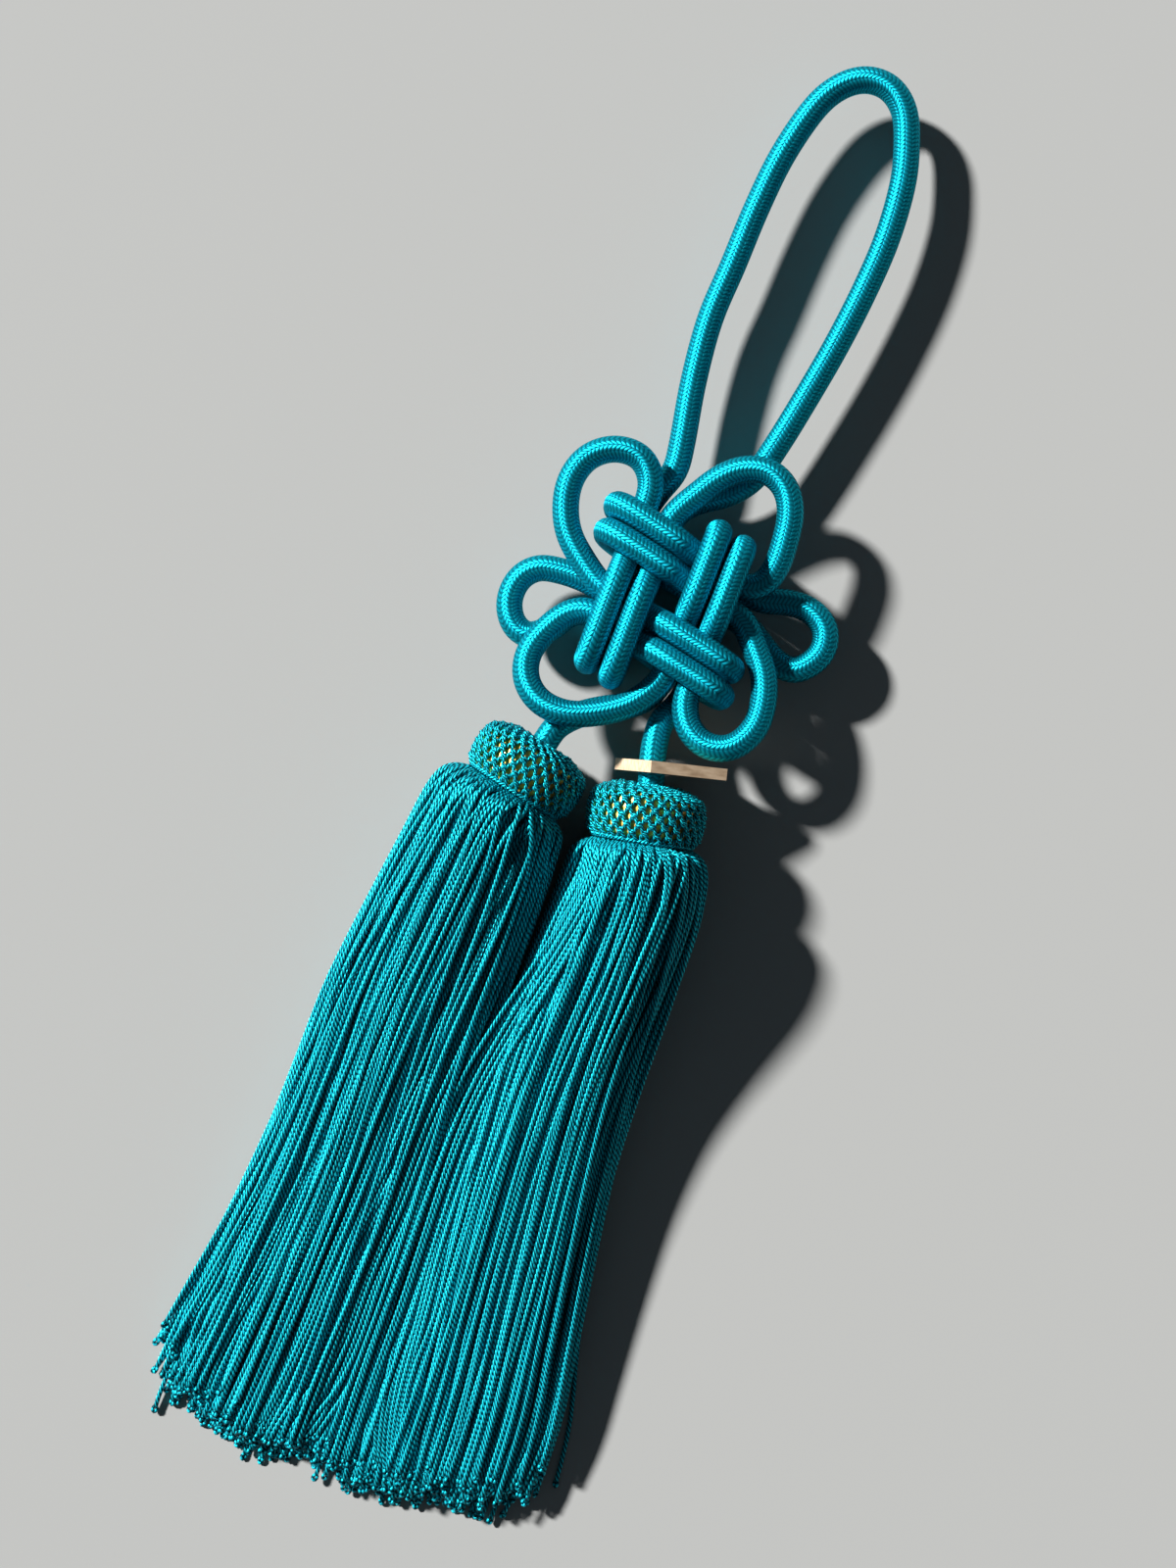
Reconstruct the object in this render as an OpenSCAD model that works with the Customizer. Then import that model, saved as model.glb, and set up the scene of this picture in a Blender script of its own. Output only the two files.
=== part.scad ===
// Knotted tassel: one thick cord tied in a flat knot with a hanging loop and six ears,
// and its two ends held in netted heads, each with a long skirt of twisted strands.
// It lies flat, as laid on a table: +Y runs from the skirts to the hanging loop, +Z is up.

/* [Cord] */
// Diameter of the braided cord
cord_d = 5.1; // [4.8:0.1:5.2]
// Flat sides round the cord
cord_sides = 10; // [8:1:12]
// Longest stretch of cord between two rings of the mesh
ring_step = 3.2; // [3:0.1:8]

/* [Knot] */
// Clear space between the knot's four layers
layer_gap = 0.15; // [0.1:0.05:0.3]
// Distance of the inner upright strands from the knot's centre
column_lane = 4.75; // [4.7:0.05:5.5]
// Distance of the inner crosswise strands from the knot's centre
row_lane = 4.7; // [4.7:0.05:5.5]
// Spacing of two neighbouring upright strands
column_pitch = 5.25; // [5.25:0.05:6]
// Spacing of two neighbouring crosswise strands
row_pitch = 5.35; // [5.35:0.05:6]
// Clockwise slope of the crosswise strands, in degrees
row_slope = 12; // [8:0.5:12]
// Radius of the blunt folds at the knot's four sides
fold_r = 5.3; // [4.5:0.1:6]

/* [Tassel heads] */
// Largest radius of a netted head
head_r = 11.7; // [11:0.1:11.8]
// Height of a head along its own axis
head_h = 11.2; // [10:0.1:12]
// Radius of a head at its lower edge
head_foot_r = 10.2; // [9.5:0.1:11]
// Height of the heads' axes above the table
head_axis_z = 12.3; // [12:0.1:13]
// Thickness of the yarn net
net_wall = 1.1; // [0.8:0.1:1.5]
// Width of an opening in the net
net_hole_d = 1.9; // [1.2:0.1:2.4]
// Openings in one round of the net
net_columns = 18; // [12:1:18]
// Rounds of openings in the net
net_rows = 3; // [2:1:3]
// Depth of the hole in the core that holds the cord's end
core_bore_depth = 7; // [4:0.5:9]

/* [Skirts] */
// Locks of strands round one skirt
lock_count = 18; // [12:1:24]
// Depth of the grooves between the locks
lock_depth = 0.45; // [0.2:0.05:0.8]
// How far the locks' ends differ in length
lock_ragged = 1.2; // [0:0.1:2]

/* [Tag plate] */
// Side of the square plate
plate_side = 16; // [14:0.5:16]
// Thickness of the plate
plate_t = 2.2; // [1.5:0.1:3]
// Distance of the plate's hole from its centre
plate_hole_offset = 4; // [3:0.5:4.5]
// Clear space round the cord in the plate, the cores and the nets
fit_gap = 0.25; // [0.2:0.05:0.3]

/* [Hidden] */
$fn = 48;

// The knot's centre on the table, which puts the frame's origin under the middle of the whole
knot_at = [0.8, 37.1];

// Layers of cord, from the table up, and the middle of the knot
layer = cord_d + layer_gap;
knot_mid_z = cord_d / 2 + 1.5 * layer;

// Straight cord before the first and after the last crossing of an arm
entry_len = 2.6;

// How much further than the others the folds of an arm reach, in the order of the arms:
// arm 0 enters at the top, 1 from the right, 2 from the bottom and 3 from the left
fold_reach = [3, 0, 1, 1];

// Heads: centre on the table, and clockwise lean of the axis in degrees
left_head_at = [-13.0, -39.0];
left_lean = 12;
right_head_at = [10.9, -39.2];
right_lean = -12;

// Plate: centre on the table, its turn about the vertical, and the turn of the square in its plane
plate_at = [12.3, -29.9];
plate_turn = 15;
plate_corner_turn = 21;

// Routes of the free cord between the arms: x and y from the knot's centre, z from the table
left_ear = [[3.4, -17.4, 13.1], [0.2, -21.6, 13.6], [-4.6, -25, 14.6], [-10, -27.2, 15.5],
            [-15.4, -26.9, 15.4], [-19.3, -24, 14.8], [-20.8, -19.4, 14], [-19.6, -14.4, 13.4],
            [-16.6, -9.4, 13.1]];
left_loop = [[-16.3, -8.7, 7.8], [-18.9, -12.8, 7.8], [-22.4, -15.6, 7.8], [-26, -14.4, 7.9],
             [-28.2, -10.6, 8], [-27.9, -6, 8], [-25.2, -2.8, 8], [-21, -1.8, 7.9],
             [-17, -1.6, 7.8]];
upper_left_ear = [[-17.6, 1.2, 13.1], [-21.8, 4.9, 13.4], [-24.3, 9.6, 13.8], [-25.1, 14.8, 14],
                  [-23.5, 19.7, 14.2], [-19.4, 22.9, 14.2], [-14.3, 23.2, 13.8],
                  [-10.8, 19.8, 13.3]];
hanging_loop = [[-8.9, 19.4, 7.8], [-7.4, 24, 7.9], [-8, 29.6, 7.9], [-10.2, 41.4, 8], [-11.5, 53.6, 8.1],
                [-11.1, 64.9, 8.2], [-10.8, 76.7, 8.3], [-9.8, 88, 8.4], [-7.3, 98.6, 8.5], [-4.2, 104.2, 8.5],
                [0, 107.3, 8.5], [4.9, 107.4, 8.5], [9, 104.3, 8.5], [11.7, 98.6, 8.5], [13.8, 90.9, 8.5],
                [14.7, 80.1, 8.4], [14.2, 68.8, 8.3], [12.9, 57, 8.2], [11.1, 45.8, 8.1], [9.2, 35.7, 8],
                [7.2, 28.1, 7.9], [3.6, 23.5, 7.8], [-0.6, 20.6, 7.8], [-3.7, 17.4, 7.8]];
upper_right_ear = [[-3.6, 17, 13.1], [-1.5, 20.6, 13.4], [1, 24.6, 14], [4.6, 27.9, 14.3],
                   [9.2, 29.2, 14.5], [13.4, 27.5, 14.5], [16, 23.5, 14.2], [17, 18.2, 13.8],
                   [17.2, 13, 13.4], [15.9, 9, 13.1]];
right_loop = [[17.2, 6.8, 7.8], [22, 8.2, 8], [26.8, 8.2, 8.2], [30.6, 5.8, 8.3],
              [31.5, 1.2, 8.2], [28.5, -3.2, 8.1], [24.5, -3.6, 7.9], [20.6, -1.6, 7.8],
              [16.6, 0.8, 7.8]];
lower_right_ear = [[15.4, 0.9, 13.1], [18.8, -2.6, 13.2], [22.3, -7, 13.6], [24.1, -12, 14],
                   [24.2, -17.4, 14.3], [21.5, -22, 14.4], [17, -23.4, 14.2],
                   [13, -21.7, 13.7], [10.7, -18.4, 13.2]];
right_leg = [[8.9, -18.8, 7.9], [7.5, -21.8, 9.1], [7.5, -25, 10.9], [8.1, -28.4, 12.3],
             [8.8, -30.9, 12.5]];
left_leg = [[-10.9, -30, 11.1], [-7.9, -26.5, 9.1], [-3.8, -23.6, 8.1], [0.5, -21.3, 7.8],
            [3.6, -18, 7.8]];

// Skirt sections from the head down: x and y of the middle, half of the width, top, underside,
// clockwise lean in degrees, and how square the corners are below and next to the other skirt,
// from 0 to 1. The last one gives the ends, whose y follows strand_ends.
SEC_X = 0;
SEC_Y = 1;
SEC_HALF = 2;
SEC_TOP = 3;
SEC_UNDER = 4;
SEC_LEAN = 5;
SEC_SQUARE = 6;
left_sections = [[-14.2, -45.1, 9.9, 22.1, 2.5, 12, 0], [-14.7, -46.2, 12.4, 24.5, 0.3, 12, 0],
                 [-15.5, -48.2, 13.8, 25.6, 0, 10, 0], [-16.1, -52, 14.4, 25.6, 0, 7, 0.1],
                 [-16.5, -59, 15, 24.2, 0, 3, 0.25], [-17.4, -73, 16.1, 20.8, 0, 0, 0.5],
                 [-18.4, -90, 16.8, 17.2, 0, 0, 0.7], [-18.4, -107, 17.1, 14.5, 0, 0, 0.85],
                 [-18.3, -125, 17.7, 12.3, 0, 0, 1], [-18.8, -143, 18.8, 10.4, 0, 0, 1],
                 [-19.5, -160, 19.7, 8.8, 0, 0, 1], [-20.4, -180, 21.4, 6, 0, 0, 1]];
right_sections = [[12.4, -45.3, 9.9, 22.1, 2.5, -12, 0], [12.6, -46.4, 12.2, 24.5, 0.3, -12, 0],
                  [12.8, -48.4, 13.3, 25.4, 0, -10, 0], [13.3, -52, 13.8, 25.4, 0, -7, 0.1],
                  [13.8, -59, 14.3, 24.2, 0, -3, 0.25], [13.9, -73, 14.6, 20.8, 0, 0, 0.5],
                  [13.8, -90, 14.9, 17.2, 0, 0, 0.7], [14.7, -107, 15.4, 14.7, 0, 0, 0.85],
                  [16.4, -125, 16.5, 12.5, 0, 0, 1], [18.3, -143, 17.7, 10.6, 0, 0, 1],
                  [19.8, -158, 19, 9, 0, 0, 1], [20.9, -180, 19.3, 6, 0, 0, 1]];

// Line of the strands' ends across both skirts: x, y
strand_ends = [[-42, -171], [-36, -178.5], [-28, -181], [-17, -183.2], [-6, -181],
               [4, -183.2], [13, -182.5], [20, -179.5], [30, -178.5], [36, -173], [40, -168]];

// Points on the cord's route through the knot

function reversed(list) = [for (i = [len(list) - 1 : -1 : 0]) list[i]];

// Upper branch of an arm, in its own upright plane: in on the second layer, up between the
// crossing pairs to the top layer, and over the fold. The crossing pair next to the centre lies
// at a, the outer one at out.
function upper_branch(a, out, reach) =
    let (rise = asin(2 * layer / norm([2 * a, layer])) - atan2(layer, 2 * a),
         fold_v = -out - reach,
         top_z = 1.5 * layer)
    concat([[out + entry_len, layer / 2], [(out + a) / 2, layer / 2]],
           [for (t = [0 : 3]) [a - layer * sin(t * rise / 3), top_z - layer * cos(t * rise / 3)]],
           [for (t = [3 : -1 : 0]) [layer * sin(t * rise / 3) - a,
                                    layer * (0.5 + cos(t * rise / 3))]],
           [for (t = [0 : 30 : 90]) [fold_v - fold_r * sin(t), top_z - fold_r * (1 - cos(t))]]);

function strand(arm, outer) =
    let (upright = arm % 2 == 0,
         lane = (upright ? column_lane : row_lane) + (outer ? (upright ? column_pitch : row_pitch) : 0),
         a = upright ? row_lane : column_lane,
         out = a + (upright ? row_pitch : column_pitch),
         upper = upper_branch(a, out, fold_reach[arm]),
         profile = concat(upper, reversed([for (p = upper) [p[0], -p[1]]])))
    [for (p = profile) in_knot(arm, lane, p[0], p[1])];

// A point of an arm, v along it from the far fold and z from the knot's middle layer
function in_knot(arm, lane, v, z) =
    let (flat = arm == 0 ? [-lane, v] : arm == 1 ? [v, lane] : arm == 2 ? [lane, -v] : [-v, -lane])
    [flat[0], flat[1] - flat[0] * tan(row_slope), z + knot_mid_z];

// A smooth curve through four points, between the middle two
function curve_at(p, t) =
    0.5 * (2 * p[1] + (p[2] - p[0]) * t + (2 * p[0] - 5 * p[1] + 4 * p[2] - p[3]) * t * t
           + (3 * p[1] - p[0] - 3 * p[2] + p[3]) * t * t * t);

// Cord along the chosen points of a route, between the last points of the strand before it and the
// first points of the strand after it
function link(before, route, after) =
    let (n = len(before),
         all = concat([before[n - 2], before[n - 1]], route, [after[0], after[1]]))
    [for (i = [1 : len(all) - 3])
        let (steps = max(1, round(norm(all[i + 1] - all[i]) / ring_step)))
        for (s = [0 : steps - 1])
            if (i > 1 || s > 0)
                curve_at([for (k = [i - 1 : i + 2]) all[k]], s / steps)];

function along_head(at, lean, distance) =
    [at[0] + distance * sin(lean), at[1] + distance * cos(lean), head_axis_z];

cord_end_inset = head_h / 2 - core_bore_depth + fit_gap;
left_end = [for (s = [cord_end_inset, head_h / 2]) along_head(left_head_at, left_lean, s)];
right_end = [for (s = [head_h / 2, cord_end_inset]) along_head(right_head_at, right_lean, s)];

bottom_in = reversed(strand(2, false));
left_out = strand(3, true);
left_in = reversed(strand(3, false));
top_out = strand(0, true);
top_in = reversed(strand(0, false));
right_out = strand(1, true);
right_in = reversed(strand(1, false));
bottom_out = strand(2, true);

cord_route = concat(
    left_end, link(left_end, left_leg, bottom_in),
    bottom_in, link(bottom_in, left_ear, left_out),
    left_out, link(left_out, left_loop, left_in),
    left_in, link(left_in, upper_left_ear, top_out),
    top_out, link(top_out, hanging_loop, top_in),
    top_in, link(top_in, upper_right_ear, right_out),
    right_out, link(right_out, right_loop, right_in),
    right_in, link(right_in, lower_right_ear, bottom_out),
    bottom_out, link(bottom_out, right_leg, right_end),
    right_end);

// Solids swept through rings of points

function unit(v) = v / norm(v);

function tangent(path, i) =
    unit(path[min(i + 1, len(path) - 1)] - path[max(i - 1, 0)]);

// A side direction at each point of the path, carried along without twist
function side_directions(path) =
    [for (i = 0, side = unit(cross([0, 0, 1], tangent(path, 0)));
          i < len(path);
          i = i + 1,
          t = tangent(path, min(i, len(path) - 1)),
          side = unit(side - (side * t) * t)) side];

function tube_rings(path, r, sides) =
    let (across = side_directions(path))
    [for (i = [0 : len(path) - 1])
        let (up = cross(tangent(path, i), across[i]))
        [for (k = [0 : sides - 1])
            path[i] + r * (across[i] * cos(k * 360 / sides) + up * sin(k * 360 / sides))]];

function mean_point(ring) = [for (axis = [0 : 2]) ring_sum(ring, axis) / len(ring)];
function ring_sum(ring, axis) = [for (p = ring) 1] * [for (p = ring) p[axis]];

module skin(rings) {
    n = len(rings[0]);
    last = len(rings) - 1;
    points = concat([for (ring = rings) each ring], [mean_point(rings[0]), mean_point(rings[last])]);
    start_hub = n * len(rings);
    end_hub = start_hub + 1;
    sides = [for (i = [0 : last - 1], k = [0 : n - 1])
        let (a = i * n + k, b = i * n + (k + 1) % n)
        each [[a, a + n, b + n], [a, b + n, b]]];
    start = [for (k = [0 : n - 1]) [start_hub, k, (k + 1) % n]];
    end = [for (k = [0 : n - 1]) [end_hub, last * n + (k + 1) % n, last * n + k]];
    polyhedron(points, concat(sides, start, end));
}

// The knotted cord, in one piece from the left head to the right one
module knotted_cord() {
    color("darkcyan") translate(knot_at) skin(tube_rings(cord_route, cord_d / 2, cord_sides));
}

// Outline of a head from its lower edge to its top, drawn in by inset, as radius and height
function head_outline(inset) =
    [[head_foot_r - inset, 0],
     [0.965 * head_r - inset, 0.14 * head_h],
     [head_r - inset, 0.36 * head_h],
     [head_r - inset, 0.55 * head_h],
     [0.95 * head_r - inset, 0.76 * head_h - 0.2 * inset],
     [0.82 * head_r - inset, 0.91 * head_h - 0.6 * inset],
     [0.58 * head_r - inset / 2, head_h - inset]];

// Places a head's own frame, whose axis runs from its lower edge to its top
module at_head(at, lean) {
    translate([knot_at[0] + at[0], knot_at[1] + at[1], head_axis_z])
        rotate([0, 0, -lean]) rotate([-90, 0, 0]) translate([0, 0, -head_h / 2]) children();
}

// Holes round the cord: the straight bore, the widening of its mouth, and the net's neck
cord_hole_r = cord_d / 2 + fit_gap;
mouth_flare = 1;
neck_r = cord_hole_r + 0.3;

// Round core of a head, with a blind hole for the cord's end
module core(at, lean) {
    inset = net_wall + fit_gap;
    top = head_h - inset;
    color("goldenrod") at_head(at, lean) rotate_extrude()
        polygon(concat([[0, 0]], head_outline(inset),
                       [[cord_hole_r + mouth_flare, top], [cord_hole_r, top - 2 * mouth_flare],
                        [cord_hole_r, head_h - core_bore_depth], [0, head_h - core_bore_depth]]));
}

// Yarn net over a head, open at its lower edge
module net(at, lean) {
    color("teal") at_head(at, lean) difference() {
        rotate_extrude()
            polygon(concat(head_outline(0), [[neck_r, head_h], [neck_r, head_h - net_wall]],
                           reversed(head_outline(net_wall))));
        for (row = [0 : net_rows - 1], column = [0 : net_columns - 1])
            rotate([0, 0, (column + row / 2) * 360 / net_columns])
                translate([head_r - 3 * net_wall, 0, (0.2 + 0.5 * row / (net_rows - 1)) * head_h])
                    rotate([0, 90, 0]) cylinder(d = net_hole_d, h = 4 * net_wall, $fn = 16);
    }
}

function powered(value, power) = sign(value) * abs(value) ^ power;

// One section of a skirt, rippled into locks and flat where it lies on the table. The other skirt
// lies beside it, on the side of +x where inner is 1 and of -x where it is -1.
function skirt_ring(sec, inner) =
    let (half_high = (sec[SEC_TOP] - sec[SEC_UNDER]) / 2,
         mid_z = sec[SEC_UNDER] + half_high,
         corner = 1 - 0.4 * sec[SEC_SQUARE],
         steps = 3 * lock_count)
    [for (k = [0 : steps - 1])
        let (turn = k * 360 / steps,
             power = sin(turn) < 0 || inner * cos(turn) > 0 ? corner : 1,
             ripple = -lock_depth * (1 - cos(lock_count * turn)) / 2,
             across = (sec[SEC_HALF] + ripple) * powered(cos(turn), power),
             high = (half_high + ripple) * powered(sin(turn), power))
        [sec[SEC_X] + across * cos(sec[SEC_LEAN]),
         sec[SEC_Y] - across * sin(sec[SEC_LEAN]),
         mid_z + high]];

// The last section, on the uneven line of the strands' ends
function ragged_ring(sec, inner) =
    [for (p = skirt_ring(sec, inner))
        [p[0], lookup(p[0], strand_ends) + lock_ragged * cos(140 * p[0]), p[2]]];

module skirt(sections, inner) {
    last = len(sections) - 1;
    color("lightseagreen") translate(knot_at)
        skin(concat([for (i = [0 : last - 1]) skirt_ring(sections[i], inner)],
                    [ragged_ring(sections[last], inner)]));
}

// Square plate on the right-hand cord, standing on one corner
module tag_plate() {
    middle_z = plate_side / sqrt(2) * cos(plate_corner_turn) + fit_gap;
    color("burlywood")
        translate([knot_at[0] + plate_at[0], knot_at[1] + plate_at[1], middle_z])
            rotate([0, 0, plate_turn]) rotate([90, 0, 0]) rotate([0, 0, plate_corner_turn - 45])
                difference() {
                    cube([plate_side, plate_side, plate_t], center = true);
                    translate([-plate_hole_offset, 0, 0])
                        cylinder(r = cord_hole_r, h = 2 * plate_t, center = true);
                }
}

knotted_cord();
core(left_head_at, left_lean);  // left_core
core(right_head_at, right_lean);  // right_core
net(left_head_at, left_lean);  // left_net
net(right_head_at, right_lean);  // right_net
skirt(left_sections, 1);  // left_skirt
skirt(right_sections, -1);  // right_skirt
tag_plate();
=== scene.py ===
"""Looks of the knotted tassel: braided cord, netted heads and twisted skirts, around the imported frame."""
import math

import bpy
import numpy as np
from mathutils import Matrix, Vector


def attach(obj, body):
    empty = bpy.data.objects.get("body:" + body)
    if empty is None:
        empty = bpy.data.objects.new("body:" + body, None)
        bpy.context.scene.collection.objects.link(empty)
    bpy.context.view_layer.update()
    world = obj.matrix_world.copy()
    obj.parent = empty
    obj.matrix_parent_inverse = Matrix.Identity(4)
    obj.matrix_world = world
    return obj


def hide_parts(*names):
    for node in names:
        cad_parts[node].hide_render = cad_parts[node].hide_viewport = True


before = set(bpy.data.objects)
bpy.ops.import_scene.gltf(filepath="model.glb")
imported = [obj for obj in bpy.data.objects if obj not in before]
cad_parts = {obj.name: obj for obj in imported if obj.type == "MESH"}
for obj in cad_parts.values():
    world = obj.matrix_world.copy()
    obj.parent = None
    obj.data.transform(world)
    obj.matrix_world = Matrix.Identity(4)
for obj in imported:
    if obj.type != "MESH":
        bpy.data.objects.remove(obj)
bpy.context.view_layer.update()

MM = 0.001
BODY = "root"

# The knot, as in part.scad: places are from the knot's centre and the table
KNOT_AT = (0.0008, 0.0371, 0)
CORD_D = 5.1 * MM
LAYER = CORD_D + 0.15 * MM
COLUMN_LANE, ROW_LANE = 4.75 * MM, 4.7 * MM
COLUMN_PITCH, ROW_PITCH = 5.25 * MM, 5.35 * MM
ROW_SLOPE = math.radians(12)
FOLD_R = 5.3 * MM
FOLD_REACH = (3 * MM, 0, 1 * MM, 1 * MM)
KNOT_MID_Z = CORD_D / 2 + 1.5 * LAYER
ENTRY_LEN = 2.6 * MM
TOP, RIGHT, BOTTOM, LEFT = range(4)

# The heads: centre on the table and clockwise lean of the axis
HEAD_R = 11.7 * MM
HEAD_H = 11.2 * MM
HEAD_FOOT_R = 10.2 * MM
HEAD_AXIS_Z = 12.3 * MM
CORE_BORE_DEPTH = 7 * MM
FIT_GAP = 0.25 * MM
LEFT_HEAD_AT, LEFT_LEAN = (-0.013, -0.039), math.radians(12)
RIGHT_HEAD_AT, RIGHT_LEAN = (0.0109, -0.0392), math.radians(-12)

# The plate's turn about the vertical and of the square in its plane, as in part.scad
PLATE_TURN, PLATE_CORNER_TURN = math.radians(15), math.radians(21)
PLATE_ANGLES = (0, math.radians(45) - PLATE_CORNER_TURN, PLATE_TURN)

# Routes of the free cord between the knot's arms
LEFT_EAR = (
    (0.0034, -0.0174, 0.0131), (0.0002, -0.0216, 0.0136), (-0.0046, -0.025, 0.0146),
    (-0.01, -0.0272, 0.0155), (-0.0154, -0.0269, 0.0154), (-0.0193, -0.024, 0.0148),
    (-0.0208, -0.0194, 0.014), (-0.0196, -0.0144, 0.0134), (-0.0166, -0.0094, 0.0131),
)
LEFT_LOOP = (
    (-0.0163, -0.0087, 0.0078), (-0.0189, -0.0128, 0.0078), (-0.0224, -0.0156, 0.0078),
    (-0.026, -0.0144, 0.0079), (-0.0282, -0.0106, 0.008), (-0.0279, -0.006, 0.008),
    (-0.0252, -0.0028, 0.008), (-0.021, -0.0018, 0.0079), (-0.017, -0.0016, 0.0078),
)
UPPER_LEFT_EAR = (
    (-0.0176, 0.0012, 0.0131), (-0.0218, 0.0049, 0.0134), (-0.0243, 0.0096, 0.0138),
    (-0.0251, 0.0148, 0.014), (-0.0235, 0.0197, 0.0142), (-0.0194, 0.0229, 0.0142),
    (-0.0143, 0.0232, 0.0138), (-0.0108, 0.0198, 0.0133),
)
HANGING_LOOP = (
    (-0.0089, 0.0194, 0.0078), (-0.0074, 0.024, 0.0079), (-0.008, 0.0296, 0.0079),
    (-0.0102, 0.0414, 0.008), (-0.0115, 0.0536, 0.0081), (-0.0111, 0.0649, 0.0082),
    (-0.0108, 0.0767, 0.0083), (-0.0098, 0.088, 0.0084), (-0.0073, 0.0986, 0.0085),
    (-0.0042, 0.1042, 0.0085), (0, 0.1073, 0.0085), (0.0049, 0.1074, 0.0085), (0.009, 0.1043, 0.0085),
    (0.0117, 0.0986, 0.0085), (0.0138, 0.0909, 0.0085), (0.0147, 0.0801, 0.0084),
    (0.0142, 0.0688, 0.0083), (0.0129, 0.057, 0.0082), (0.0111, 0.0458, 0.0081),
    (0.0092, 0.0357, 0.008), (0.0072, 0.0281, 0.0079), (0.0036, 0.0235, 0.0078),
    (-0.0006, 0.0206, 0.0078), (-0.0037, 0.0174, 0.0078),
)
UPPER_RIGHT_EAR = (
    (-0.0036, 0.017, 0.0131), (-0.0015, 0.0206, 0.0134), (0.001, 0.0246, 0.014),
    (0.0046, 0.0279, 0.0143), (0.0092, 0.0292, 0.0145), (0.0134, 0.0275, 0.0145),
    (0.016, 0.0235, 0.0142), (0.017, 0.0182, 0.0138), (0.0172, 0.013, 0.0134),
    (0.0159, 0.009, 0.0131),
)
RIGHT_LOOP = (
    (0.0172, 0.0068, 0.0078), (0.022, 0.0082, 0.008), (0.0268, 0.0082, 0.0082),
    (0.0306, 0.0058, 0.0083), (0.0315, 0.0012, 0.0082), (0.0285, -0.0032, 0.0081),
    (0.0245, -0.0036, 0.0079), (0.0206, -0.0016, 0.0078), (0.0166, 0.0008, 0.0078),
)
LOWER_RIGHT_EAR = (
    (0.0154, 0.0009, 0.0131), (0.0188, -0.0026, 0.0132), (0.0223, -0.007, 0.0136),
    (0.0241, -0.012, 0.014), (0.0242, -0.0174, 0.0143), (0.0215, -0.022, 0.0144),
    (0.017, -0.0234, 0.0142), (0.013, -0.0217, 0.0137), (0.0107, -0.0184, 0.0132),
)
RIGHT_LEG = (
    (0.0089, -0.0188, 0.0079), (0.0075, -0.0218, 0.0091), (0.0075, -0.025, 0.0109),
    (0.0081, -0.0284, 0.0123), (0.0088, -0.0309, 0.0125),
)
LEFT_LEG = (
    (-0.0109, -0.03, 0.0111), (-0.0079, -0.0265, 0.0091), (-0.0038, -0.0236, 0.0081),
    (0.0005, -0.0213, 0.0078), (0.0036, -0.018, 0.0078),
)

# Sections of the skirts: x and y of the middle, half of the width, top, underside, lean in degrees,
# and how square the corners are below and next to the other skirt
SEC_X, SEC_Y, SEC_HALF, SEC_TOP, SEC_UNDER, SEC_LEAN, SEC_SQUARE = range(7)
LEFT_SECTIONS = (
    (-0.0142, -0.0451, 0.0099, 0.0221, 0.0025, 12, 0),
    (-0.0147, -0.0462, 0.0124, 0.0245, 0.0003, 12, 0), (-0.0155, -0.0482, 0.0138, 0.0256, 0, 10, 0),
    (-0.0161, -0.052, 0.0144, 0.0256, 0, 7, 0.1), (-0.0165, -0.059, 0.015, 0.0242, 0, 3, 0.25),
    (-0.0174, -0.073, 0.0161, 0.0208, 0, 0, 0.5), (-0.0184, -0.09, 0.0168, 0.0172, 0, 0, 0.7),
    (-0.0184, -0.107, 0.0171, 0.0145, 0, 0, 0.85), (-0.0183, -0.125, 0.0177, 0.0123, 0, 0, 1),
    (-0.0188, -0.143, 0.0188, 0.0104, 0, 0, 1), (-0.0195, -0.16, 0.0197, 0.0088, 0, 0, 1),
    (-0.0204, -0.18, 0.0214, 0.006, 0, 0, 1),
)
RIGHT_SECTIONS = (
    (0.0124, -0.0453, 0.0099, 0.0221, 0.0025, -12, 0),
    (0.0126, -0.0464, 0.0122, 0.0245, 0.0003, -12, 0), (0.0128, -0.0484, 0.0133, 0.0254, 0, -10, 0),
    (0.0133, -0.052, 0.0138, 0.0254, 0, -7, 0.1), (0.0138, -0.059, 0.0143, 0.0242, 0, -3, 0.25),
    (0.0139, -0.073, 0.0146, 0.0208, 0, 0, 0.5), (0.0138, -0.09, 0.0149, 0.0172, 0, 0, 0.7),
    (0.0147, -0.107, 0.0154, 0.0147, 0, 0, 0.85), (0.0164, -0.125, 0.0165, 0.0125, 0, 0, 1),
    (0.0183, -0.143, 0.0177, 0.0106, 0, 0, 1), (0.0198, -0.158, 0.019, 0.009, 0, 0, 1),
    (0.0209, -0.18, 0.0193, 0.006, 0, 0, 1),
)
# Line of the strands' ends across both skirts: x, y
STRAND_ENDS = (
    (-0.042, -0.171), (-0.036, -0.1785), (-0.028, -0.181), (-0.017, -0.1832), (-0.006, -0.181),
    (0.004, -0.1832), (0.013, -0.1825), (0.02, -0.1795), (0.03, -0.1785), (0.036, -0.173),
    (0.04, -0.168),
)


def add_object(name, data):
    """A new object in the scene, which shows the data."""
    thing = bpy.data.objects.new(name, data)
    bpy.context.scene.collection.objects.link(thing)
    return thing


# Materials

# Name of the map that says where a point lies round and along its thread
THREAD_UV = "thread"
# Tint of the threads' gloss
GLEAM = (0.06, 0.9, 1.0)

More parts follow.
